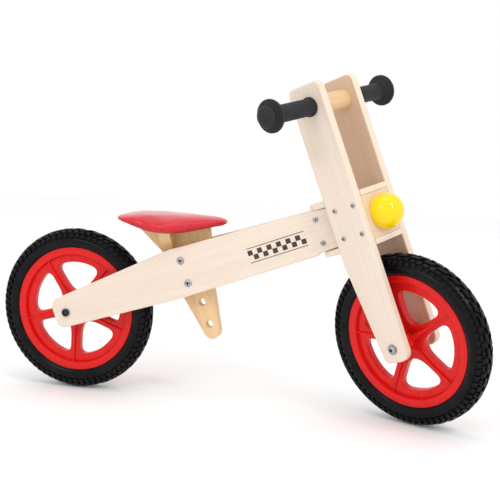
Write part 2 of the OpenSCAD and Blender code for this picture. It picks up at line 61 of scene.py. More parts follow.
JOINTS = {j["name"]: j for j in frame["joints"]}


# ---------------------------------------------------------------- places, all read from the frame


def basis(origin, x, y, z):
    """The matrix whose columns are three directions and an origin."""
    m = Matrix((x, y, z)).transposed().to_4x4()
    m.translation = origin
    return m


LATERAL = Vector((0, 1, 0))
PIN = Vector(JOINTS["steering"]["axis"]).normalized()
PIN_AT = Vector(JOINTS["steering"]["pos_m"])
FORK_LATERAL = Vector(JOINTS["front_wheel_spin"]["axis"]).normalized()
REAR_AXLE = Vector(JOINTS["rear_wheel_spin"]["pos_m"])
FRONT_AXLE = Vector(JOINTS["front_wheel_spin"]["pos_m"])

# Local frames: x forward, y to the rider's left, z up the steering axis (up, for the rear wheel)
LEANING = basis(PIN_AT, LATERAL.cross(PIN), LATERAL, PIN)
STEERED = basis(PIN_AT, FORK_LATERAL.cross(PIN), FORK_LATERAL, PIN)
AT_REAR = basis(REAR_AXLE, Vector((1, 0, 0)), LATERAL, Vector((0, 0, 1)))
AT_FRONT = basis(FRONT_AXLE, FORK_LATERAL.cross(PIN), FORK_LATERAL, PIN)

TYRE_LOW, TYRE_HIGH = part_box("rear_tyre")
RIM_LOW, RIM_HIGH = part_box("rear_rim")
PAD_LOW, PAD_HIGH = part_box("seat_pad")
WHEEL_R = (TYRE_HIGH.z - TYRE_LOW.z) / 2
TYRE_HALF = (TYRE_HIGH.y - TYRE_LOW.y) / 2
RIM_R = (RIM_HIGH.x - RIM_LOW.x) / 2
HUB_HALF = (RIM_HIGH.y - RIM_LOW.y) / 2
GROUND = TYRE_LOW.z


def local_points(node, place):
    """The node's vertices in a local frame, as an array."""
    inverse = place.inverted()
    return np.array([inverse @ v.co for v in NODES[node].data.vertices])


def local_box(node, place):
    points = local_points(node, place)
    return points.min(0), points.max(0)


# ---------------------------------------------------------------- mesh helpers


def add_object(name, data):
    made = bpy.data.objects.new(name, data)
    bpy.context.scene.collection.objects.link(made)
    return made


def mesh_of(name, bm):
    """Turns a bmesh into a mesh, and frees it."""
    mesh = bpy.data.meshes.new(name)
    bm.to_mesh(mesh)
    bm.free()
    return mesh


def absorb(bm, part):
    """Adds one bmesh to another, and frees it."""
    mesh = mesh_of("part", part)
    bm.from_mesh(mesh)
    bpy.data.meshes.remove(mesh)


def evaluated_mesh(piece):
    """The piece's mesh with its modifiers or its curve's bevel worked out."""
    graph = bpy.context.evaluated_depsgraph_get()
    return bpy.data.meshes.new_from_object(piece.evaluated_get(graph))


def apply_modifiers(piece):
    mesh = evaluated_mesh(piece)
    piece.modifiers.clear()
    piece.data = mesh


def finish_piece(name, bm, place, body, materials, node, smooth_angle=35):
    """Turns a bmesh in a local frame into a piece that rides on a body and stands for a CAD node."""
    bmesh.ops.recalc_face_normals(bm, faces=bm.faces)
    bm.transform(place)
    piece = add_object(name, mesh_of(name, bm))
    for material in materials:
        piece.data.materials.append(material)
    if smooth_angle:
        piece.data.shade_smooth()
        piece.data.set_sharp_from_angle(angle=math.radians(smooth_angle))
    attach(piece, body)
    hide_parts(node)
    return piece


def in_mm(points, radius=0.0, y=0.0):
    """Profile points (radius, y), given in millimetres from a radius and a y."""
    return [(radius + r * MM, y + h * MM) for r, h in points]


def on_circle(radius, angle):
    return Vector((radius * math.cos(angle), radius * math.sin(angle)))


def circle(radius, steps, turn=1):
    """Points round a circle, the other way round where turn is -1."""
    return [on_circle(radius, turn * 2 * math.pi * i / steps) for i in range(steps)]


def lathe(bm, profile, steps, closed=False, centre_u=0.0, centre_v=0.0):
    """Revolves (radius, y) points about the local Y axis through (centre_u, centre_v)."""
    rings = []
    for radius, y in profile:
        if radius < WELD:
            rings.append([bm.verts.new((centre_u, y, centre_v))])
        else:
            ring = circle(radius, steps)
            rings.append([bm.verts.new((centre_u + u, y, centre_v + v)) for u, v in ring])
    pairs = list(zip(rings, rings[1:]))
    if closed:
        pairs.append((rings[-1], rings[0]))
    for a, b in pairs:
        for i in range(steps):
            j = (i + 1) % steps
            corners = [a[i % len(a)], a[j % len(a)], b[j % len(b)], b[i % len(b)]]
            unique = list(dict.fromkeys(corners))
            if len(unique) > 2:
                bm.faces.new(unique)


def plate_with_holes(outer, holes, half, rounding):
    """A flat plate in the local x-z plane, with rounded edges, as a bmesh."""
    curve = bpy.data.curves.new("plate", "CURVE")
    curve.dimensions = "2D"
    curve.fill_mode = "BOTH"
    curve.extrude = half - rounding
    curve.bevel_depth = rounding
    curve.bevel_resolution = 2
    curve.offset = -rounding
    for outline in [outer] + holes:
        spline = curve.splines.new("POLY")
        spline.points.add(len(outline) - 1)
        for point, (u, v) in zip(spline.points, outline):
            point.co = (u, v, 0, 1)
        spline.use_cyclic_u = True
    holder = add_object("plate", curve)
    mesh = evaluated_mesh(holder)
    bm = bmesh.new()
    bm.from_mesh(mesh)
    bmesh.ops.remove_doubles(bm, verts=bm.verts, dist=WELD / 2)
    bm.transform(Matrix.Rotation(math.pi / 2, 4, "X"))
    bpy.data.objects.remove(holder)
    bpy.data.curves.remove(curve)
    bpy.data.meshes.remove(mesh)
    return bm


def prism(bm, corners_low, corners_high):
    """A closed prism between two matching loops of 3D points."""
    low = [bm.verts.new(p) for p in corners_low]
    high = [bm.verts.new(p) for p in corners_high]
    bm.faces.new(low[::-1])
    bm.faces.new(high)
    count = len(low)
    for i in range(count):
        j = (i + 1) % count
        bm.faces.new((low[i], low[j], high[j], high[i]))


def welded_bmesh(node):
    bm = bmesh.new()
    bm.from_mesh(NODES[node].data)
    bmesh.ops.remove_doubles(bm, verts=bm.verts, dist=WELD)
    return bm


def node_bmesh(node):
    """A copy of a CAD node's mesh, welded and with its flat faces joined."""
    bm = welded_bmesh(node)
    bmesh.ops.dissolve_limit(bm, angle_limit=math.radians(0.8), verts=bm.verts, edges=bm.edges)
    return bm


def bevelled_bmesh(node, width):
    """A copy of a CAD node's mesh with its sharp edges just rounded."""
    bm = node_bmesh(node)
    sharp = [e for e in bm.edges if len(e.link_faces) == 2 and e.calc_face_angle(0) > SHARP]
    bmesh.ops.bevel(bm, geom=sharp, offset=width, segments=2, profile=0.5, affect="EDGES",
                    clamp_overlap=True)
    return bm


def islands(node):
    """The separate solids of a CAD node, each as an array of its vertices."""
    bm = welded_bmesh(node)
    seen = set()
    found = []
    for first in bm.verts:
        if first in seen:
            continue
        seen.add(first)
        stack = [first]
        group = []
        while stack:
            vert = stack.pop()
            group.append(vert)
            fresh = [v for v in (edge.other_vert(vert) for edge in vert.link_edges) if v not in seen]
            seen.update(fresh)
            stack.extend(fresh)
        found.append(np.array([v.co for v in group]))
    bm.free()
    return found


# ---------------------------------------------------------------- materials


class Shader:
    """A Principled material with short calls for its texture nodes."""

    def __init__(self, name, colour, roughness, metallic=0.0, **sockets):
        self.material = bpy.data.materials.new(name)
        self.material.use_nodes = True
        self.tree = self.material.node_tree
        self.bsdf = self.tree.nodes["Principled BSDF"]
        self.bsdf.inputs["Base Color"].default_value = (*colour, 1)
        self.bsdf.inputs["Roughness"].default_value = roughness
        self.bsdf.inputs["Metallic"].default_value = metallic
        for socket, value in sockets.items():
            self.bsdf.inputs[socket.replace("_", " ")].default_value = value
        self.coordinates = self.tree.nodes.new("ShaderNodeTexCoord").outputs["Object"]

    def node(self, kind, inputs=(), **settings):
        made = self.tree.nodes.new(kind)
        for key, value in settings.items():
            setattr(made, key, value)
        for key, value in dict(inputs).items():
            if isinstance(value, bpy.types.NodeSocket):
                self.tree.links.new(value, made.inputs[key])
            else:
                made.inputs[key].default_value = value
        return made

    def placed(self, place, size):
        """Coordinates in a local frame, measured in steps of size along its three axes."""
        return self.node("ShaderNodeMapping", {
            "Vector": self.coordinates, "Location": place.translation,
            "Rotation": place.to_euler(), "Scale": size}, vector_type="TEXTURE").outputs[0]

    def noise(self, vector, detail=3.0, roughness=0.5, distortion=0.0):
        return self.node("ShaderNodeTexNoise", {
            "Vector": vector, "Scale": 1.0, "Detail": detail, "Roughness": roughness,
            "Distortion": distortion}).outputs["Fac"]

    def speckle(self, place, size, detail):
        """Noise with grains of one size along all three axes."""
        return self.noise(self.placed(place, (size, size, size)), detail)

    def ramp(self, value, low, high, to_low=0.0, to_high=1.0):
        return self.node("ShaderNodeMapRange", {
            "Value": value, "From Min": low, "From Max": high,
            "To Min": to_low, "To Max": to_high}).outputs[0]

    def mix(self, factor, a, b):
        made = self.node("ShaderNodeMix", {"Factor": factor}, data_type="RGBA")
        for socket, value in ((made.inputs[6], a), (made.inputs[7], b)):
            if isinstance(value, bpy.types.NodeSocket):
                self.tree.links.new(value, socket)
            else:
                socket.default_value = (*value, 1)
        return made.outputs[2]

    def math(self, operation, a, b=0.0):
        return self.node("ShaderNodeMath", {0: a, 1: b}, operation=operation).outputs[0]

    def link(self, value, socket):
        self.tree.links.new(value, self.bsdf.inputs[socket])

    def bump(self, height, strength, distance):
        inputs = {"Height": height, "Strength": strength, "Distance": distance}
        self.link(self.node("ShaderNodeBump", inputs).outputs[0], "Normal")


BIRCH = (0.800, 0.675, 0.575)
BIRCH_DARK = (0.700, 0.560, 0.445)
# painted shade: a darker tan for the fork plates' inner faces, standing in for the shade the near
# plate casts there
BIRCH_PAINTED_SHADE = (0.660, 0.475, 0.335)
TAN = (0.780, 0.540, 0.290)
TAN_DARK = (0.600, 0.370, 0.160)
BLOCK = (0.780, 0.610, 0.440)
BLOCK_DARK = (0.660, 0.470, 0.300)
INK = (0.030, 0.020, 0.016)

LONG_GRAIN = (0.16, 0.0035, 0.0035)
SHORT_GRAIN = (0.10, 0.0045, 0.0045)
BAR_GRAIN = (0.12, 0.004, 0.004)


def darker(colour, share):
    return tuple(c * share for c in colour)


def wood(name, pale, dark, place, grain=LONG_GRAIN, printed=None):
    """Lacquered wood: broad soft bands, fine streaks and short pores along the local x axis."""
    roughness = 0.42
    s = Shader(name, pale, roughness, Coat_Weight=0.12, Coat_Roughness=0.25)
    fine = s.noise(s.placed(place, grain), 6.0, 0.62)
    broad = s.noise(s.placed(place, (grain[0] * 2.2, grain[1] * 8, grain[2] * 8)), 2.0, 0.5, 0.4)
    pores = s.noise(s.placed(place, (0.010, 0.00045, 0.00045)), 1.0)
    shade = s.math("MULTIPLY", s.ramp(fine, 0.38, 0.72), 0.55)
    tone = s.math("ADD", shade, s.ramp(broad, 0.35, 0.75, 0.0, 0.35))
    colour = s.mix(tone, pale, dark)
    colour = s.mix(s.ramp(pores, 0.66, 0.80, 0.0, 0.22), colour, darker(dark, 0.62))
    if printed:
        colour = printed(s, colour)
    s.link(colour, "Base Color")
    s.link(s.ramp(fine, 0.3, 0.7, roughness - 0.05, roughness + 0.08), "Roughness")
    s.bump(s.math("ADD", s.math("MULTIPLY", fine, 0.5), s.math("MULTIPLY", pores, 0.5)), 0.16, 0.0004)
    return s.material


def ply_edge(name, place, pitch):
    """The edge of plywood: thin plies across the local y axis, alternately pale and tan."""
    s = Shader(name, BIRCH, 0.55)
    across = s.node("ShaderNodeSeparateXYZ", {0: s.placed(place, (1, pitch, 1))}).outputs[1]
    wobble = s.noise(s.placed(place, (0.03, 0.02, 0.03)), 2.0)
    saw = s.math("FRACT", s.math("ADD", across, s.math("MULTIPLY", wobble, 0.15)))
    band = s.ramp(s.math("ABSOLUTE", s.math("SUBTRACT", saw, 0.5)), 0.20, 0.30)
    fibre = s.noise(s.placed(place, (0.006, 0.0004, 0.006)), 3.0)
    colour = s.mix(s.math("MULTIPLY", band, 0.40), (0.84, 0.72, 0.60), (0.62, 0.44, 0.28))
    colour = s.mix(s.ramp(fibre, 0.45, 0.8, 0.0, 0.3), colour, BIRCH_DARK)
    s.link(colour, "Base Color")
    s.bump(s.math("ADD", band, fibre), 0.12, 0.0004)
    return s.material


def turned_frame(place, along, across):
    """A copy of a local frame whose x and y axes are two others of its axes, by number."""
    m = place.to_3x3()
    x, y = m.col[along], m.col[across]
    return basis(place.translation, x, y, x.cross(y))


def chequered_print(s, colour):
    """Two rows of ink squares between two fine lines, by their place along and up the beam."""
    cell = 8.5 * MM
    start, low = -158 * MM, 198.5 * MM
    columns, rows = 12, 2
    line_near, line_far = 0.35, 0.5
    spot = s.placed(LEANING @ Matrix.Translation((start, 0, low)), (cell, 1, cell))
    along, _, up = s.node("ShaderNodeSeparateXYZ", {0: spot}).outputs

    def within(value, a, b):
        return s.math("MULTIPLY", s.math("GREATER_THAN", value, a), s.math("LESS_THAN", value, b))

    parity = s.math("MODULO", s.math("ADD", s.math("FLOOR", along), s.math("FLOOR", up)), 2.0)
    odd = s.math("GREATER_THAN", parity, 0.5)
    checks = s.math("MULTIPLY", odd, within(up, 0, rows))
    upper_line = within(up, rows + line_near, rows + line_far)
    lower_line = within(up, -line_far, -line_near)
    lines = s.math("ADD", upper_line, lower_line)
    ink = s.math("MULTIPLY", s.math("ADD", checks, lines), within(along, 0, columns))
    return s.mix(ink, colour, INK)


def red_plastic():
    s = Shader("moulded_red_plastic", (0.70, 0.008, 0.006), 0.30, Specular_IOR_Level=0.25,
               Coat_Weight=0.06)
    flow = s.speckle(AT_REAR, 0.02, 4.0)
    grain = s.speckle(AT_REAR, 0.0011, 2.0)
    s.link(s.mix(flow, (0.72, 0.008, 0.006), (0.62, 0.005, 0.004)), "Base Color")
    s.link(s.ramp(flow, 0.3, 0.7, 0.24, 0.38), "Roughness")
    s.bump(grain, 0.05, 0.0003)
    return s.material


def tyre_foam():
    s = Shader("black_tyre_foam", (0.006, 0.006, 0.007), 0.20, Specular_IOR_Level=0.12)
    cells = s.speckle(AT_REAR, 0.0016, 3.0)
    dust = s.speckle(AT_REAR, 0.03, 4.0)
    s.link(s.mix(s.ramp(dust, 0.4, 0.8), (0.004, 0.004, 0.005), (0.010, 0.010, 0.011)), "Base Color")
    s.link(s.ramp(dust, 0.3, 0.75, 0.15, 0.28), "Roughness")
    s.bump(cells, 0.12, 0.0004)
    return s.material


def leatherette():
    cell = 0.0013
    s = Shader("red_leatherette", (0.62, 0.008, 0.022), 0.30, Specular_IOR_Level=0.15,
               Coat_Weight=0.6, Coat_Roughness=0.10)
    inputs = {"Vector": s.placed(AT_REAR, (cell, cell, cell)), "Scale": 1.0}
    cells = s.node("ShaderNodeTexVoronoi", inputs, feature="DISTANCE_TO_EDGE").outputs["Distance"]
    tone = s.speckle(AT_REAR, 0.03, 3.0)
    s.link(s.mix(tone, (0.68, 0.011, 0.028), (0.52, 0.006, 0.018)), "Base Color")
    s.link(s.ramp(tone, 0.3, 0.7, 0.24, 0.32), "Roughness")
    s.bump(s.ramp(cells, 0.0, 0.25), 0.02, 0.0001)
    return s.material


def grip_rubber():
    s = Shader("charcoal_grip_rubber", (0.018, 0.019, 0.021), 0.50, Specular_IOR_Level=0.22)
    grain = s.speckle(STEERED, 0.0010, 2.0)
    wear = s.speckle(STEERED, 0.018, 3.0)
    s.link(s.mix(wear, (0.013, 0.014, 0.016), (0.026, 0.027, 0.030)), "Base Color")
    s.link(s.ramp(wear, 0.3, 0.7, 0.48, 0.66), "Roughness")
    s.bump(grain, 0.22, 0.0003)
    return s.material


def lacquer():
    s = Shader("yellow_lacquer", (0.93, 0.66, 0.0), 0.25, Specular_IOR_Level=0.1,
               Coat_Weight=0.6, Coat_Roughness=0.06)
    peel = s.speckle(STEERED, 0.004, 2.0)
    tone = s.speckle(STEERED, 0.03, 2.0)
    s.link(s.mix(tone, (0.96, 0.68, 0.0), (0.90, 0.60, 0.0)), "Base Color")
    s.link(s.ramp(tone, 0.3, 0.7, 0.18, 0.27), "Roughness")
    s.bump(peel, 0.02, 0.0003)
    return s.material


def metal(name, colour, roughness, metallic=1.0):
    s = Shader(name, colour, roughness, metallic)
    stain = s.speckle(AT_REAR, 0.004, 4.0)
    brushed = s.noise(s.placed(AT_REAR, (0.0004, 0.006, 0.0004)), 2.0)
    s.link(s.mix(stain, colour, darker(colour, 0.72)), "Base Color")
    s.link(s.ramp(stain, 0.3, 0.7, roughness - 0.07, roughness + 0.12), "Roughness")
    s.bump(brushed, 0.08, 0.0002)
    return s.material


def nylon():
    s = Shader("natural_nylon", (0.80, 0.79, 0.74), 0.45, Subsurface_Weight=0.1)
    grain = s.speckle(AT_REAR, 0.0015, 2.0)
    s.link(s.mix(grain, (0.83, 0.82, 0.78), (0.74, 0.73, 0.67)), "Base Color")
    s.bump(grain, 0.08, 0.0002)
    return s.material


FORK_UP = turned_frame(STEERED, 2, 1)
FORK_ACROSS = turned_frame(STEERED, 1, 0)
LEANING_UP = turned_frame(LEANING, 2, 1)
BEAM_WOOD = wood("beam_veneer", BIRCH, BIRCH_DARK, LEANING, printed=chequered_print)
BEAM_EDGE = ply_edge("beam_ply_edge", LEANING, 0.0024)
FORK_WOOD = wood("fork_veneer", BIRCH, BIRCH_DARK, FORK_UP)
FORK_EDGE = ply_edge("fork_ply_edge", STEERED, 0.0025)
# the fork veneer in the darker tan, as painted shade on the inner faces of the fork plates
FORK_INNER_PAINTED_SHADE = wood("fork_inner_painted_shade_veneer", BIRCH_PAINTED_SHADE, (0.56, 0.38, 0.25), FORK_UP)
BOARD_WOOD = wood("board_veneer", BIRCH, BIRCH_DARK, STEERED)
BOARD_EDGE = ply_edge("board_ply_edge", turned_frame(STEERED, 0, 2), 0.0025)
BLOCK_WOOD = wood("fork_block_wood", BLOCK, BLOCK_DARK, FORK_ACROSS)
HEAD_WOOD = wood("head_block_wood", BLOCK, BLOCK_DARK, LEANING)
POST_WOOD = wood("post_wood", TAN, TAN_DARK, LEANING_UP, SHORT_GRAIN)
CORBEL_WOOD = wood("corbel_wood", TAN, TAN_DARK, AT_REAR, SHORT_GRAIN)
BAR_WOOD = wood("bar_wood", (0.77, 0.54, 0.31), (0.66, 0.41, 0.19), FORK_ACROSS, BAR_GRAIN)
RED = red_plastic()
BLACK = tyre_foam()
SADDLE_RED = leatherette()
GRIP = grip_rubber()
YELLOW = lacquer()
ZINC = metal("zinc_steel", (0.46, 0.46, 0.46), 0.26)
# darker steel for the screw recesses: on the zinc screws it is painted shade in the recesses, on the
# black axle bolt the bare steel inside the socket
RECESS_STEEL_AND_PAINTED_SHADE = metal("recess_steel_and_painted_shade", (0.10, 0.10, 0.10), 0.40)
BLACK_STEEL = metal("black_steel", (0.018, 0.018, 0.020), 0.34, 0.6)
NYLON = nylon()


# ---------------------------------------------------------------- wooden pieces


def finish_wood(node, bm, place, body, materials):
    piece = finish_piece(node + "_wood", bm, place, body, materials, node)
    piece.modifiers.new("flat_faces", "WEIGHTED_NORMAL").keep_sharp = True


def rounded_copy(node, body, width, material):
    """The CAD node with its sharp edges just rounded."""
    bm = bevelled_bmesh(node, width)
    bmesh.ops.dissolve_degenerate(bm, edges=bm.edges, dist=WELD / 2)
    finish_wood(node, bm, Matrix.Identity(4), body, [material])


def face_loops(bm, normal):
    """The closed loops of points round a plate's front, the longest first."""
    facing = [f for f in bm.faces if f.normal.dot(normal) > 0.9999]
    level = max(f.calc_center_median().dot(normal) for f in facing)
    front = [f for f in facing if level - f.calc_center_median().dot(normal) < 0.1 * MM]
    region = set(front)
    follow = {}
    for f in front:
        for loop in f.loops:
            if loop.link_loop_radial_next.face not in region:
                follow[loop.vert] = loop.link_loop_next.vert
    found = []
    while follow:
        first, at = follow.popitem()
        chain = [first.co.copy()]
        while at in follow:
            chain.append(at.co.copy())
            at = follow.pop(at)
        found.append(chain)
    return sorted(found, key=outline_size, reverse=True)


def outline_size(chain):
    return sum((a - b).length for a, b in zip(chain, chain[1:]))


def thin_out(chain, shortest=0.8 * MM):
    """The loop without points that crowd their neighbour."""
    kept = []
    for point in chain:
        if not kept or (point - kept[-1]).length > shortest:
            kept.append(point)
    return kept


def rounded_plate(node, body, side, rounding, face, edge, back=None, open_holes=False):
    """A plate cut to the CAD node's outline, with evenly rounded edges and its plies on them.

    side is the direction its front looks along, to within a few degrees. The back can have a
    material of its own: the fork plates' backs are their inner faces, and their darker veneer
    is painted shade. Holes stay closed, under the heads of their screws, unless open_holes.
    """
    bm = node_bmesh(node)
    main = max(bm.faces, key=lambda f: f.calc_area() * (f.normal.dot(side) > 0.98))
    normal = main.normal.copy()
    depths = [v.co.dot(normal) for v in bm.verts]
    half = (max(depths) - min(depths)) / 2
    x = (Vector((1, 0, 0)) - normal * normal.x).normalized()
    place = basis(normal * (max(depths) + min(depths)) / 2, x, normal, x.cross(normal))
    to_local = place.inverted()
    loops = []
    for chain in face_loops(bm, normal):
        points = [to_local @ p for p in thin_out(chain)]
        loops.append([Vector((p.x, p.z)) for p in points])
    bm.free()
    made = plate_with_holes(loops[0], loops[1:] if open_holes else [], half, rounding)
    made.normal_update()
    face_slot, edge_slot, back_slot = range(3)
    for f in made.faces:
        f.material_index = face_slot
        if abs(f.normal.y) < 0.75:
            f.material_index = edge_slot
        # the back of a fork plate is its inner face, which gets the darker veneer as painted shade
        elif f.normal.y < 0:
            f.material_index = back_slot
    finish_wood(node, made, place, body, [face, edge, back or face])


def make_wood():
    for side, out in (("right", -1), ("left", 1)):
        rounded_plate("frame_plate_" + side, "frame", LATERAL * out, 2.6 * MM, BEAM_WOOD, BEAM_EDGE)
        # the fork plates' inner faces take the painted-shade veneer
        rounded_plate("fork_plate_" + side, "fork", FORK_LATERAL * out, 3.0 * MM, FORK_WOOD,
                      FORK_EDGE, back=FORK_INNER_PAINTED_SHADE)
        rounded_copy("seat_corbel_" + side, "frame", 0.8 * MM, CORBEL_WOOD)
        rounded_copy("seat_spacer_" + side, "frame", 0.6 * MM, CORBEL_WOOD)
    for board in ("fork_top_board", "fork_bottom_board"):
        rounded_plate(board, "fork", PIN, 2.0 * MM, BOARD_WOOD, BOARD_EDGE)
    rounded_copy("fork_block", "fork", 0.6 * MM, BLOCK_WOOD)
    rounded_copy("head_block", "frame", 0.8 * MM, HEAD_WOOD)
    rounded_plate("seat_post", "frame", LATERAL, 1.6 * MM, POST_WOOD, POST_WOOD,
                  open_holes=True)
    rounded_copy("seat_board", "frame", 0.8 * MM, CORBEL_WOOD)


# ---------------------------------------------------------------- wheels

SPOKES = 5
HALF_PITCH = math.pi / SPOKES
EDGE = 1.6 * MM


def spoke_phase(node, place):
    """The angle of a spoke, read from the CAD rim: the end of its rib stands at a known height."""
    points = local_points(node, place)
    radius = np.hypot(points[:, 0], points[:, 2])
    height = abs(points[:, 1])
    rib = points[(height > 10.5 * MM) & (height < 11.5 * MM) & (radius > 0.8 * RIM_R)]
    turns = SPOKES * np.arctan2(rib[:, 2], rib[:, 0])
    return (np.angle(np.exp(1j * turns).mean()) / SPOKES) % (2 * HALF_PITCH)


def window_outline(middle, ring_r):
    """One opening between two spokes: a triangle with an arched outer side and soft corners."""
    half_spoke = 8.4 * MM
    soft_inner, soft_outer = 40 * MM, 15 * MM
    along = math.sqrt(ring_r ** 2 - half_spoke ** 2)
    high = Matrix.Rotation(HALF_PITCH, 2) @ Vector((along, -half_spoke))
    low = Vector((high.x, -high.y))
    tip = Vector((half_spoke / math.sin(HALF_PITCH), 0.0))
    reach = math.atan2(high.y, high.x) - soft_outer / ring_r
    arch = [on_circle(ring_r, angle) for angle in np.linspace(-reach, reach, 13)]
    outline = corner_arc(high, tip, low, soft_inner)
    outline += corner_arc(tip, low, arch[0], soft_outer)[:-1] + arch
    outline += corner_arc(arch[-1], high, tip, soft_outer)[1:]
    turn = Matrix.Rotation(middle, 2)
    return [turn @ p for p in outline]


def corner_arc(before, at, after, radius, steps=8):
    """A quadratic arc that cuts the corner at a point, starting radius away on each side."""
    start = at + (before - at).normalized() * min(radius, (before - at).length * 0.95)
    end = at + (after - at).normalized() * min(radius, (after - at).length * 0.95)
    made = []
    for k in range(steps + 1):
        t = k / steps
        made.append(start * (1 - t) ** 2 + at * 2 * t * (1 - t) + end * t * t)
    return made


def make_rim(node, place, body):
    """A web with five windows, a stepped ring, the hub's two barrels, ribs and moulding lines."""
    phase = spoke_phase(node, place)
    ring_r = RIM_R - 27.5 * MM
    step_r = RIM_R - 13.5 * MM
    bore_r = 6.4 * MM
    web = 7.6 * MM
    lip = 14.4 * MM
    middles = [phase + HALF_PITCH * (2 * i + 1) for i in range(SPOKES)]
    openings = [window_outline(middle, ring_r) for middle in middles]
    openings.append(circle(bore_r, 24, turn=-1))
    bm = plate_with_holes(circle(step_r, 96), openings, web, EDGE)
    half_ring = in_mm(((-1.6, -1.0), (-1.2, 0.4)), step_r, web)
    half_ring += in_mm(((-0.4, -2.2), (0.8, -0.9), (2.6, -0.6)), step_r, lip)
    half_ring += in_mm(((-2.2, 0), (-0.8, -0.5), (-0.2, -1.4), (-1.0, -2.4)), RIM_R, lip)
    far_ring = [(r, -y) for r, y in reversed(half_ring)]
    lathe(bm, half_ring + far_ring, 144, closed=True)
    barrel = in_mm(((6.5, 0), (17.5, 0), (17.2, 12), (15.5, 20)))
    barrel += in_mm(((14.2, -2), (13.2, -0.5), (12, 0), (6.5, 0)), y=HUB_HALF)
    for side in SIDES:
        lathe(bm, [(r, side * y) for r, y in barrel], 48, closed=True)
        for middle in middles:
            rib(bm, middle - HALF_PITCH, side, web, step_r)
            for offset in (-0.14, 0.14):
                tick(bm, middle + offset, side, web, ring_r, step_r)
    finish_piece(node + "_moulded", bm, place, body, [RED], node)


def rib(bm, angle, side, web, step_r):
    """The thin rib on a spoke: tall at the hub, sloping down to the ring."""
    turn = Matrix.Rotation(-angle, 4, "Y")
    low = side * (web - 1 * MM)
    taper = 0.6
    stations = (
        (10 * MM, 21 * MM, 7.5 * MM), (22 * MM, 16 * MM, 6.5 * MM), (38 * MM, 13 * MM, 3.6 * MM),
        (60 * MM, 11.4 * MM, 2.0 * MM), (step_r, 10.8 * MM, 1.4 * MM))
    for (r0, h0, w0), (r1, h1, w1) in zip(stations, stations[1:]):
        foot = [(r0, low, -w0), (r1, low, -w1), (r1, low, w1), (r0, low, w0)]
        top = [(r, side * h, z * taper) for (r, _, z), h in zip(foot, (h0, h1, h1, h0))]
        prism(bm, [turn @ Vector(p) for p in foot], [turn @ Vector(p) for p in top])


def tick(bm, angle, side, web, ring_r, step_r):
    """A low moulding line across the recessed ring."""
    turn = Matrix.Rotation(-angle, 4, "Y")
    half = 0.6 * MM
    taper = 0.5
    r0, r1 = ring_r + 2.5 * MM, step_r
    low, high = side * (web - 1 * MM), side * (web + 0.7 * MM)
    foot = [(r0, low, -half), (r1, low, -half), (r1, low, half), (r0, low, half)]
    top = [(r, high, z * taper) for r, _, z in foot]
    prism(bm, [turn @ Vector(p) for p in foot], [turn @ Vector(p) for p in top])


TREAD_R = 26 * MM
LUG_H = 3.6 * MM


def tread_point(s, depth):
    """(radius, y) on the tread at arc length s from the crown's middle, sunk by depth."""
    crown = WHEEL_R - TREAD_R
    shoulder = math.asin(TYRE_HALF / TREAD_R)
    side = 1 if s >= 0 else -1
    a = abs(s) / TREAD_R
    if a <= shoulder:
        r = TREAD_R - depth
        return crown + r * math.cos(a), side * r * math.sin(a)
    turning = 4 * MM
    down = abs(s) - shoulder * TREAD_R
    blend = min(1.0, down / turning)
    lean_in = depth * (math.sin(shoulder) * (1 - blend) + blend)
    r = crown + TREAD_R * math.cos(shoulder) - down - depth * math.cos(shoulder) * (1 - blend)
    return r, side * (TYRE_HALF - lean_in)


def lug(bm, s0, s1, a0, a1, skew=0.0):
    """A tread block between two arc lengths and two wheel angles, chamfered at the top."""
    cells = 3
    chamfer = 0.7 * MM
    border = []
    for k in range(4 * cells):
        side, t = k // cells, k % cells / cells
        border.append(((t, 0), (1, t), (1 - t, 1), (0, 1 - t))[side])
    rings = []
    for height, inset in ((-LUG_H - 0.8 * MM, 0.0), (-0.9 * MM, 0.0), (-0.15 * MM, chamfer)):
        ring = []
        for across, around in border:
            s = s0 + (s1 - s0) * across + inset * (1 - 2 * across) * math.copysign(1, s1 - s0)
            a = a0 + (a1 - a0) * around + inset / WHEEL_R * (1 - 2 * around)
            a += skew * (s - (s0 + s1) / 2)
            r, y = tread_point(s, -height)
            ring.append(bm.verts.new((r * math.cos(a), y, r * math.sin(a))))
        rings.append(ring)
    for lower, upper in zip(rings, rings[1:]):
        for i in range(4 * cells):
            bm.faces.new((lower[i - 1], lower[i], upper[i], upper[i - 1]))
    bm.faces.new(rings[0][::-1])
    middle = (a0 + a1) / 2
    r, y = tread_point((s0 + s1) / 2, 0)
    top = bm.verts.new((r * math.cos(middle), y, r * math.sin(middle)))
    for i in range(4 * cells):
        bm.faces.new((rings[-1][i - 1], rings[-1][i], top))


def make_tyre(node, place, body):
    """The carcass, with three rows of blocks on each side of the crown."""
    bm = bmesh.new()
    wall_top = 28.6 * MM
    half_wall = in_mm(((-1.5, 12.6), (0.5, 13.6), (1.4, 15.4), (3.0, 16.6), (5.5, 17.8), (9.0, 18.7),
                       (13.0, 18.9), (15.4, 18.0)), RIM_R)
    tread = [tread_point(s, LUG_H) for s in np.linspace(wall_top, -wall_top, 27)]
    far_wall = [(r, -y) for r, y in reversed(half_wall)]
    lathe(bm, half_wall + tread + far_wall, 192, closed=True)
    crown_from, crown_to = 0.9 * MM, 8.0 * MM
    middle_from, middle_to = (11.4 * MM, 9.4 * MM), 17.4 * MM
    shoulder_from, shoulder_to = 18.6 * MM, 28.2 * MM
    pitches = 36
    pitch = 2 * math.pi / pitches
    for i in range(pitches):
        a = i * pitch
        for side in SIDES:
            for half, inner in enumerate(middle_from):
                start = a + 0.5 * half * pitch
                lug(bm, side * shoulder_from, side * shoulder_to, start, start + 0.30 * pitch)
                lug(bm, side * inner, side * middle_to, start + 0.20 * pitch, start + 0.56 * pitch)
            start = a if side < 0 else a + 0.5 * pitch
            lug(bm, side * crown_from, side * crown_to, start, start + 0.66 * pitch, skew=side * 5.0)
    finish_piece(node + "_tread", bm, place, body, [BLACK], node, smooth_angle=28)


# ---------------------------------------------------------------- handlebar grips and lamp


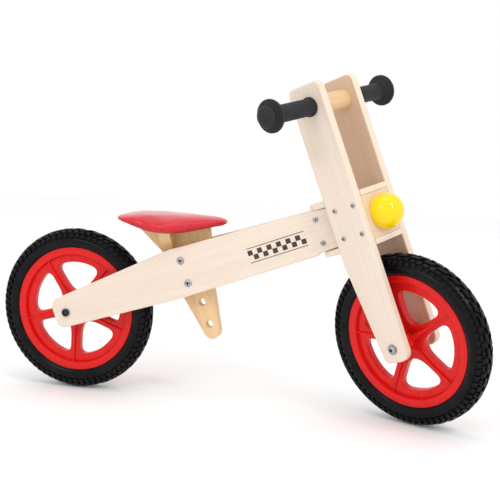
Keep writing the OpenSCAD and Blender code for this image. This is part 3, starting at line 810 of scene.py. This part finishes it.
def make_grip(node, side):
    """A collar, a ribbed tube, a flange, three steps down from it and a domed end."""
    low, high = local_box(node, STEERED)
    u, v = (low[0] + high[0]) / 2, (low[2] + high[2]) / 2
    inner, outer = sorted((abs(low[1]), abs(high[1])))
    bore_r = 11.4 * MM
    ring_r = (high[2] - low[2]) / 2
    ring_y = outer - 20 * MM
    profile = [(bore_r, inner)]
    profile += in_mm(((15.0, 0), (15.7, 0.8), (15.7, 3.4), (15.0, 4.4)), y=inner)
    tube_start, tube_end = inner + 5.2 * MM, ring_y - 6 * MM
    ribs = 20
    step = (tube_end - tube_start) / ribs
    for i in range(ribs):
        y = tube_start + step * i
        profile += [(13.5 * MM, y), (13.9 * MM, y + 0.3 * step), (13.9 * MM, y + 0.7 * step)]
    profile += in_mm(((14.2, -5), (16.5, -3.2)), y=ring_y)
    profile += in_mm(((-2.5, -2.2), (-0.6, -1.4), (0, 0), (-0.1, 2.0), (-1.2, 2.9)), ring_r, ring_y)
    for k in range(3):
        r = ring_r - (2.4 + 2.4 * k) * MM
        y = ring_y + (3.2 + 2.6 * k) * MM
        profile += in_mm(((-2.6, 0), (-0.6, 0.3), (0, 0.8), (-0.4, 1.6), (-3.0, 2.1)), r, y)
    dome_r = ring_r - 8.8 * MM
    dome_y = ring_y + 10.8 * MM
    for degrees in range(0, 91, 10):
        angle = math.radians(degrees)
        profile.append((dome_r * math.cos(angle), dome_y + (outer - dome_y) * math.sin(angle)))
    bore_end = outer - 12 * MM
    bore = [(bore_r, inner), (bore_r, bore_end), (0.0, bore_end)]
    bm = bmesh.new()
    for turned in (profile, bore):
        lathe(bm, [(r, side * y) for r, y in turned], 64, centre_u=u, centre_v=v)
    bmesh.ops.remove_doubles(bm, verts=bm.verts, dist=WELD / 2)
    for k in range(-2, 3):
        ridge(bm, u, v, side, outer, dome_r, outer - dome_y, k)
    finish_piece(node + "_rubber", bm, STEERED, "fork", [GRIP], node, smooth_angle=40)


def ridge(bm, u, v, side, outer, dome_r, dome_h, k):
    """One of the short parallel ridges on a grip's domed end."""
    pitch, half_width = 3.0 * MM, 0.8 * MM
    x = k * pitch
    reach = math.sqrt((0.62 * dome_r) ** 2 - x * x)
    stations = np.linspace(-reach, reach, 7)

    def height(z):
        across = min(1.0, math.hypot(x, z) / dome_r)
        return outer - dome_h * (1 - math.sqrt(1 - across * across))

    for z0, z1 in zip(stations, stations[1:]):
        foot, top = [], []
        for way, z in ((-1, z0), (1, z0), (1, z1), (-1, z1)):
            y = height(z)
            foot.append((u + x + way * half_width, side * (y - 1.5 * MM), v + z))
            top.append((u + x + way * half_width / 2, side * (y + 0.1 * MM), v + z))
        prism(bm, foot, top)


def make_lamp():
    """The turned ball: a full round with its seat flattened on the block."""
    low, high = local_box("lamp_ball", STEERED)
    radius = (high[1] - low[1]) / 2
    flat = low[0]
    middle = high[0] - radius
    v = (low[2] + high[2]) / 2
    seat_angle = math.acos((flat - middle) / radius)
    profile = [(0.0, high[0])]
    for angle in np.linspace(0, seat_angle, 27)[1:]:
        profile.append((radius * math.sin(angle), middle + radius * math.cos(angle)))
    profile.append((0.0, flat))
    bm = bmesh.new()
    lathe(bm, profile, 56)
    bm.transform(Matrix.Translation((0, 0, v)) @ Matrix.Rotation(-math.pi / 2, 4, "Z"))
    finish_piece("lamp_ball_lacquered", bm, STEERED, "fork", [YELLOW], "lamp_ball")


# ---------------------------------------------------------------- fasteners


def recess(kind, radius):
    """The outlines of the prisms that cut a screw's recess."""
    if kind == "hex":
        return [circle(radius, 6)]
    arm = radius * 0.22
    return [[(-x, -y), (x, -y), (x, y), (-x, y)] for x, y in ((radius, arm), (arm, radius))]


def head_mesh(name, radius, height, kind, socket_r, material):
    """A domed head standing on z = 0, with a real recess cut in it, whose faces take the darker recess
    steel: painted shade on the zinc heads.
    """
    edge = 0.35 * height
    profile = [(0.0, 0.0), (radius * 0.96, 0.0), (radius, edge * 0.3), (radius, edge)]
    for degrees in (18, 36, 54, 72, 90):
        angle = math.radians(degrees)
        profile.append((radius * math.cos(angle), edge + (height - edge) * math.sin(angle)))
    bm = bmesh.new()
    lathe_z(bm, profile, 36)
    head = add_object(name, mesh_of(name, bm))
    head.data.materials.append(material)
    head.data.materials.append(RECESS_STEEL_AND_PAINTED_SHADE)
    for outline in recess(kind, socket_r):
        tool = bmesh.new()
        floor, above = [[(x, y, height * z) for x, y in outline] for z in (0.30, 2)]
        prism(tool, floor, above)
        bmesh.ops.recalc_face_normals(tool, faces=tool.faces)
        cutter = add_object("cutter", mesh_of("cutter", tool))
        # the recess faces take the darker recess steel, painted shade in the zinc heads
        cutter.data.materials.append(RECESS_STEEL_AND_PAINTED_SHADE)
        cut = head.modifiers.new("cut", "BOOLEAN")
        cut.operation = "DIFFERENCE"
        cut.solver = "EXACT"
        cut.material_mode = "TRANSFER"
        cut.object = cutter
        apply_modifiers(head)
        bpy.data.objects.remove(cutter)
    result = head.data
    bpy.data.objects.remove(head)
    return result


def make_fasteners(node, body, axis, kind, socket, material):
    """Replaces each solid of a CAD node by a domed head with a recess, on its own shank."""
    bm = bmesh.new()
    head = None
    for points in islands(node):
        middle = points.mean(0)
        along = (points - middle) @ np.array(axis)
        radial = np.linalg.norm(points - middle - np.outer(along, np.array(axis)), axis=1)
        wide = radial.max()
        rim = radial > 0.98 * wide
        head_at = along[rim].mean()
        outward = 1 if along.max() - head_at < head_at - along.min() else -1
        along *= outward
        tip, foot, end = along.max(), along[rim].min(), along.min()
        shank = radial[along < end + 0.2 * MM].max()
        length = foot - end
        if head is None:
            head = head_mesh(node + "_head", wide, tip - foot, kind, socket * wide, material)
        direction = Vector(axis) * outward
        place = direction.to_track_quat("Z", "Y").to_matrix().to_4x4()
        place.translation = Vector(middle) + direction * float(foot)
        part = bmesh.new()
        part.from_mesh(head)
        lathe_z(part, [(0.0, -length), (shank * 0.8, -length), (shank, 0.5 * MM - length),
                       (shank, 0.1 * MM), (0.0, 0.1 * MM)], 20)
        part.transform(place)
        absorb(bm, part)
    finish_piece(node + "_detailed", bm, Matrix.Identity(4), body, [material, RECESS_STEEL_AND_PAINTED_SHADE], node,
                 smooth_angle=32)


def lathe_z(bm, profile, steps):
    """Revolves (radius, z) points about the local Z axis."""
    made = bmesh.new()
    lathe(made, profile, steps)
    made.transform(Matrix.Rotation(math.pi / 2, 4, "X"))
    bmesh.ops.recalc_face_normals(made, faces=made.faces)
    absorb(bm, made)


def bevelled_metal(node, body, material):
    """A CAD node in metal, with its edges just broken."""
    bm = bevelled_bmesh(node, 0.3 * MM)
    finish_piece(node + "_metal", bm, Matrix.Identity(4), body, [material], node)


def make_metal():
    make_fasteners("fork_screws", "fork", FORK_LATERAL, "cross", 0.62, ZINC)
    make_fasteners("head_screws", "frame", LATERAL, "cross", 0.62, ZINC)
    make_fasteners("seat_bolts", "frame", LATERAL, "cross", 0.60, ZINC)
    make_fasteners("seat_sleeve_nuts", "frame", LATERAL, "cross", 0.60, ZINC)
    make_fasteners("front_axle_bolt", "fork", FORK_LATERAL, "hex", 0.48, ZINC)
    make_fasteners("rear_axle_bolt", "frame", LATERAL, "hex", 0.48, BLACK_STEEL)
    bevelled_metal("front_axle_nut", "fork", ZINC)
    bevelled_metal("rear_axle_nut", "frame", BLACK_STEEL)


def dress_kept_nodes():
    """Gives the CAD nodes that stay as they are a finished material."""
    kept = (
        (ZINC, ("front_axle_washers", "front_axle_spacers", "rear_axle_washers", "rear_axle_spacers",
                "steering_bolt", "steering_nut", "steering_washers", "seat_screws")),
        (NYLON, ("steering_bushes", "rear_hub_bushes", "front_hub_bushes")),
        (BAR_WOOD, ("board_dowels", "lamp_dowel", "handlebar")))
    for material, nodes in kept:
        for node in nodes:
            mesh = NODES[node].data
            mesh.materials.clear()
            mesh.materials.append(material)
            mesh.shade_smooth()
            mesh.set_sharp_from_angle(angle=math.radians(35))


# ---------------------------------------------------------------- saddle


def soften(piece):
    """Evens out the points of a remeshed pad."""
    relax = piece.modifiers.new("relax", "SMOOTH")
    relax.factor = 0.5
    relax.iterations = 6
    apply_modifiers(piece)


def inflate(piece, pressure, cap):
    """Swells a closed pad with a cloth simulation, moving no point further than cap."""
    steps = 20
    start = np.array([v.co for v in piece.data.vertices])
    held = piece.vertex_groups.new(name="held")
    held.add([v.index for v in piece.data.vertices if v.normal.z < -0.75], 1.0, "REPLACE")
    cloth = piece.modifiers.new("cloth", "CLOTH")
    settings = cloth.settings
    settings.quality = 6
    settings.mass = 0.25
    settings.tension_stiffness = 22
    settings.compression_stiffness = 22
    settings.shear_stiffness = 8
    settings.bending_stiffness = 2.5
    settings.use_pressure = True
    settings.uniform_pressure_force = pressure
    settings.effector_weights.gravity = 0.0
    settings.vertex_group_mass = held.name
    cloth.collision_settings.use_collision = False
    cloth.point_cache.frame_start = 1
    cloth.point_cache.frame_end = steps
    scene = bpy.context.scene
    for number in range(1, steps + 1):
        scene.frame_set(number)
    apply_modifiers(piece)
    shift = np.array([v.co for v in piece.data.vertices]) - start
    size = np.linalg.norm(shift, axis=1, keepdims=True)
    shift *= np.minimum(1.0, cap / np.maximum(size, 1e-9))
    for v, point in zip(piece.data.vertices, start + shift):
        v.co = point
    scene.frame_set(1)


def gather(piece):
    """Pleats round the rolled edge, where the cover is pulled under the board and stapled."""
    middle = (PAD_LOW + PAD_HIGH) / 2
    length, width = PAD_HIGH.x - PAD_LOW.x, PAD_HIGH.y - PAD_LOW.y
    pleats, depth = 76, 2.2 * MM
    mesh = piece.data
    mesh.update()
    normals = [v.normal.copy() for v in mesh.vertices]
    for v, n in zip(mesh.vertices, normals):
        low_side = min(1.0, max(0.0, (0.15 - n.z) / 0.6))
        angle = math.atan2((v.co.y - middle.y) / width, (v.co.x - middle.x) / length)
        wave = math.sin(angle * pleats + 0.8 * math.sin(angle * 5))
        crease = 1 - abs(wave) ** 0.6
        v.co -= n * (depth * low_side * crease)


def seat_on_board(piece):
    """Pushes the cushion's underside in where the board sits."""
    sunk = 4 * MM
    start_below = 50 * MM
    board = bmesh.new()
    board.from_mesh(NODES["seat_board"].data)
    tree = BVHTree.FromBMesh(board)
    for v in piece.data.vertices:
        below = Vector((v.co.x, v.co.y, PAD_LOW.z - start_below))
        hit = tree.ray_cast(below, Vector((0, 0, 1)))[0]
        if hit:
            v.co.z = max(v.co.z, hit.z + sunk)
    board.free()


def make_saddle():
    """The padded cushion: the CAD pad's hull, remeshed, inflated, gathered and set on its board."""
    bm = node_bmesh("seat_pad")
    hull = bmesh.ops.convex_hull(bm, input=bm.verts)
    inside = hull["geom_interior"] + hull["geom_unused"]
    spare = [g for g in inside if isinstance(g, bmesh.types.BMVert)]
    bmesh.ops.delete(bm, geom=spare, context="VERTS")
    skin = set(hull["geom"])
    bmesh.ops.delete(bm, geom=[f for f in bm.faces if f not in skin], context="FACES")
    piece = finish_piece("saddle_pad", bm, Matrix.Identity(4), "frame", [SADDLE_RED],
                         "seat_pad", smooth_angle=0)
    remesh = piece.modifiers.new("remesh", "REMESH")
    remesh.mode = "VOXEL"
    remesh.voxel_size = 4.0 * MM
    apply_modifiers(piece)
    soften(piece)
    inflate(piece, pressure=4.0, cap=2 * MM)
    soften(piece)
    finer = piece.modifiers.new("finer", "SUBSURF")
    finer.levels = 2
    finer.render_levels = 2
    apply_modifiers(piece)
    gather(piece)
    seat_on_board(piece)
    piece.data.materials.clear()
    piece.data.materials.append(SADDLE_RED)
    piece.data.shade_smooth()


# ---------------------------------------------------------------- floor, light and camera


# What the lights and the camera look at, near the middle of the bike
MIDDLE = REAR_AXLE + Vector((0.32145, 0, 0.12414))


def make_floor():
    s = Shader("pale_floor", (0.96, 0.96, 0.96), 0.8)
    soft = s.speckle(AT_REAR, 0.5, 2.0)
    s.link(s.mix(soft, (0.97, 0.97, 0.97), (0.95, 0.95, 0.95)), "Base Color")
    reach = 3.2
    gap = 0.2 * MM
    bm = bmesh.new()
    corners = ((-reach, -reach), (reach, -reach), (reach, reach), (-reach, reach))
    bm.faces.new([bm.verts.new((x, y, GROUND - gap)) for x, y in corners])
    floor = add_object("floor", mesh_of("floor", bm))
    floor.data.materials.append(s.material)


def aim(azimuth, elevation):
    """The direction from the object to a viewer: azimuth 0 is on -Y, positive towards +X."""
    a, e = math.radians(azimuth), math.radians(elevation)
    return Vector((math.sin(a) * math.cos(e), -math.cos(a) * math.cos(e), math.sin(e)))


def soft_light(name, azimuth, elevation, width, height, power):
    """A rectangular light that looks at the bike's middle."""
    distance = 2.4
    data = bpy.data.lights.new(name, "AREA")
    data.shape = "RECTANGLE"
    data.size = width
    data.size_y = height
    data.energy = power
    light = add_object(name, data)
    direction = aim(azimuth, elevation)
    light.location = MIDDLE + direction * distance
    light.rotation_euler = direction.to_track_quat("Z", "Y").to_euler()


def make_light():
    soft_light("left_strip", azimuth=-24, elevation=30, width=0.9, height=0.30, power=7)
    soft_light("right_strip", azimuth=58, elevation=38, width=0.30, height=0.9, power=9)
    soft_light("top_softbox", azimuth=10, elevation=80, width=1.6, height=0.6, power=6)
    world = bpy.data.worlds.new("studio")
    world.use_nodes = True
    background = world.node_tree.nodes["Background"].inputs
    background["Color"].default_value = (1, 1, 1, 1)
    background["Strength"].default_value = 1.0
    bpy.context.scene.world = world


def make_camera():
    """The photograph's viewpoint, a little to the front of square on and slightly above."""
    azimuth, elevation, roll = 16.7, 8.34, math.radians(1.09)
    distance = 1.728
    focal_over_width = 2.0372
    data = bpy.data.cameras.new("camera")
    data.sensor_width = 36
    data.lens = data.sensor_width * focal_over_width
    data.clip_end = 100
    camera = add_object("camera", data)
    back = aim(azimuth, elevation)
    right = Vector((0, 0, 1)).cross(back).normalized()
    up = back.cross(right)
    rolled_right = right * math.cos(roll) + up * math.sin(roll)
    camera.matrix_world = basis(MIDDLE + back * distance, rolled_right, back.cross(rolled_right), back)
    bpy.context.scene.camera = camera


def main():
    make_wood()
    make_rim("rear_rim", AT_REAR, "rear_wheel")
    make_rim("front_rim", AT_FRONT, "front_wheel")
    make_tyre("rear_tyre", AT_REAR, "rear_wheel")
    make_tyre("front_tyre", AT_FRONT, "front_wheel")
    make_grip("grip_right", -1)
    make_grip("grip_left", 1)
    make_lamp()
    make_metal()
    dress_kept_nodes()
    make_saddle()
    make_floor()
    make_light()
    make_camera()
    bpy.context.scene.view_settings.view_transform = "Standard"


main()
